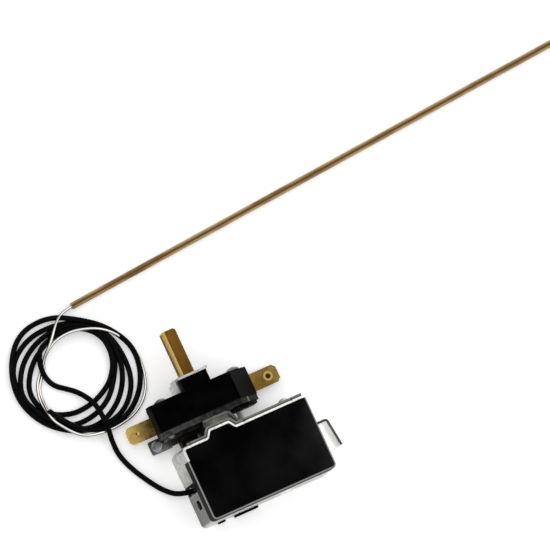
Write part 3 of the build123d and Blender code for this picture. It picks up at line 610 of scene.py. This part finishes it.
BARE_ROUTE = [
    (-56.8, 45.5, 3.6),
    (-56.7, 47.3, 2.6),
    (-56.4, 50.0, 1.2),
    (-55.9, 52.7, 0.5),
    (-55.1, 54.8, 0.5),
    (-53.7, 56.5, 0.5),
    (-51.3, 59.2, 0.5),
    (-50.5, 61.6, 1.0),
    (-49.4, 63.3, 2.6),
    (-47.3, 65.1, 4.4),
    (-44.5, 66.5, 4.6),
    (-41.3, 67.2, 4.6),
    (-37.4, 67.3, 4.6),
    (-33.0, 66.3, 4.6),
    (-28.9, 64.7, 4.4),
    (-25.4, 62.4, 3.4),
    (-22.3, 59.2, 2.0),
    (-20.1, 55.1, 0.8),
    (-19.1, 51.0, 0.5),
    (-19.2, 46.7, 0.5),
    (-20.0, 42.8, 0.5),
    (-21.5, 39.2, 0.5),
    (-24.0, 36.0, 0.6),
    (-27.3, 33.6, 0.8),
    (-30.9, 32.1, 1.0),
    (-35.4, 31.3, 1.8),
    (-39.3, 31.0, 2.8),
    (-43.4, 31.4, 3.6),
    (-47.0, 32.0, 4.0),
    (-50.2, 33.6, 4.2),
    (-52.8, 36.3, 4.5),
    (-54.9, 39.1, 4.6),
    (-56.3, 41.3, 4.4),
    (-56.9, 44.2, 3.4),
    (-57.2, 47.4, 1.6),
    (-57.0, 50.9, 0.5),
    (-56.3, 53.9, 0.5),
    (-55.2, 56.2, 0.5),
    (-53.1, 58.6, 0.5),
    (-50.8, 61.3, 1.2),
    (-49.3, 63.7, 2.8),
    (-47.1, 65.7, 4.8),
    (-45.2, 67.7, 4.9),
    (-43.1, 70.2, 4.4),
    (-40.3, 73.0, 2.8),
    (-37.7, 74.5, 1.5),
    (-35.5, 75.0, 1.3),
    (-33.4, 75.4, 1.25),
]


def coil_points():
    """Centre line of the coil's turns, clockwise from the top."""
    points = []
    angle = 90
    for radii, heights in zip(TURN_RADII, TURN_HEIGHTS):
        for radius, height in zip(radii, heights):
            x = COIL_CENTRE[0] + radius * math.cos(math.radians(angle))
            y = COIL_CENTRE[1] + radius * math.sin(math.radians(angle))
            points.append((x, y, height))
            angle -= TURN_STEP
    return points


def cord(name, points, diameter, look):
    """Round cord on the base along a smooth spline."""
    curve = bpy.data.curves.new(name, "CURVE")
    curve.dimensions = "3D"
    curve.bevel_depth = diameter / 2
    curve.bevel_resolution = CORD_ROUNDNESS
    curve.resolution_u = CORD_STEPS
    curve.use_fill_caps = True
    line = curve.splines.new("NURBS")
    line.points.add(len(points) - 1)
    for control, point in zip(line.points, points):
        control.co = (*spot(*point), 1.0)
    line.order_u = CORD_ORDER
    line.use_endpoint_u = True
    piece = linked(name, curve)
    curve.materials.append(look)
    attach(piece, "base")
    return piece


sleeve = cord(
    "sleeved_capillary", SLEEVE_ROUTE + coil_points() + [SLEEVE_END], SLEEVE_DIAMETER,
    LOOKS["black_sleeve"],
)
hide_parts("capillary_sleeve", "sleeve_coil")
bare = cord("bare_capillary", BARE_ROUTE, BARE_DIAMETER, BARE_LIT_LOOK)
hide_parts("capillary_tail")


# Floor, light and camera

FLOOR_COLOUR = (0.9, 0.9, 0.905, 1.0)
FLOOR_ROUGHNESS = 0.9
FLOOR_SPECULAR = 0.1
FLOOR_GLOW = 0.28
FLOOR_SIZE = 6.0
FLOOR_Z = -0.0002


def floor_material():
    """Matt pale floor that glows for the camera and in reflections, so that it shows white."""
    material = bpy.data.materials.new("pale_floor")
    material.use_nodes = True
    tree = material.node_tree
    shader = tree.nodes["Principled BSDF"]
    shader.inputs["Base Color"].default_value = FLOOR_COLOUR
    shader.inputs["Roughness"].default_value = FLOOR_ROUGHNESS
    shader.inputs["Specular IOR Level"].default_value = FLOOR_SPECULAR
    rays = tree.nodes.new("ShaderNodeLightPath")
    seen = rays.outputs["Is Camera Ray"]
    for name in ("Is Glossy Ray", "Is Transmission Ray"):
        either = tree.nodes.new("ShaderNodeMath")
        either.operation = "MAXIMUM"
        link(tree, seen, either.inputs[0])
        link(tree, rays.outputs[name], either.inputs[1])
        seen = either.outputs[0]
    glow = tree.nodes.new("ShaderNodeMath")
    glow.operation = "MULTIPLY"
    glow.inputs[1].default_value = FLOOR_GLOW
    link(tree, seen, glow.inputs[0])
    shader.inputs["Emission Color"].default_value = (1.0, 1.0, 1.0, 1.0)
    link(tree, glow.outputs[0], shader.inputs["Emission Strength"])
    return material


bpy.ops.mesh.primitive_plane_add(size=FLOOR_SIZE, location=(0.0, 0.0, FLOOR_Z))
floor = bpy.context.object
floor.name = "floor"
floor.data.materials.append(floor_material())


def area_light(name, place, target, size, energy):
    """Square area light that faces its target."""
    light = bpy.data.lights.new(name, "AREA")
    light.size = size
    light.energy = energy
    holder = linked(name, light)
    holder.location = place
    holder.rotation_euler = (Vector(target) - Vector(place)).to_track_quat("-Z", "Y").to_euler()


# Name, place, size in metres and energy in watts
LIGHTS = [
    ("key", (-0.5, 0.7, 1.3), 1.6, 3.2),
    ("fill", (0.7, 0.1, 0.9), 1.0, 1.2),
]
MIDDLE = (0.02, 0.03, 0.0)
for name, place, size, energy in LIGHTS:
    area_light(name, place, MIDDLE, size, energy)

# The sky's tones from the horizon to overhead
SKY_TONES = [
    (0.0, grey(0.35)),
    (0.35, grey(0.8)),
    (0.7, grey(1.0)),
    (0.93, grey(0.75)),
    (1.0, grey(0.55)),
]
SKY_STRENGTH = 1.1

world = bpy.data.worlds.new("studio")
bpy.context.scene.world = world
world.use_nodes = True
backdrop = world.node_tree.nodes["Background"]
sky = world.node_tree.nodes.new("ShaderNodeTexCoord").outputs["Generated"]
height = component(world.node_tree, sky, Z)
link(world.node_tree, ramp(world.node_tree, height, SKY_TONES), backdrop.inputs["Color"])
backdrop.inputs["Strength"].default_value = SKY_STRENGTH

# The camera looks down on the part, tilted a little from the left and the rear. Its aim is in
# millimetres from the case's middle and its sensor in millimetres; other lengths are in metres.
SIGHT = Vector((0.2251, 0.0614, -0.9725)).normalized()
RIGHT = Vector((0.891, -0.4169, 0.1797))
DISTANCE = 8.0
VIEW_WIDTH = 0.18895
AIM = (32.05, 55.84, 20.94)
CLIP_END = 40.0
SENSOR = 36.0
right = (RIGHT - RIGHT.dot(SIGHT) * SIGHT).normalized()
upward = right.cross(SIGHT)
lens = bpy.data.cameras.new("camera")
lens.sensor_width = SENSOR
lens.sensor_fit = "HORIZONTAL"
lens.lens = SENSOR * DISTANCE / VIEW_WIDTH
lens.clip_end = CLIP_END
camera = linked("camera", lens)
turn = Matrix((right, upward, -SIGHT)).transposed()
aim = Vector(spot(*AIM))
camera.matrix_world = Matrix.Translation(aim - SIGHT * DISTANCE) @ turn.to_4x4()

scene = bpy.context.scene
scene.camera = camera
scene.view_settings.view_transform = "Standard"
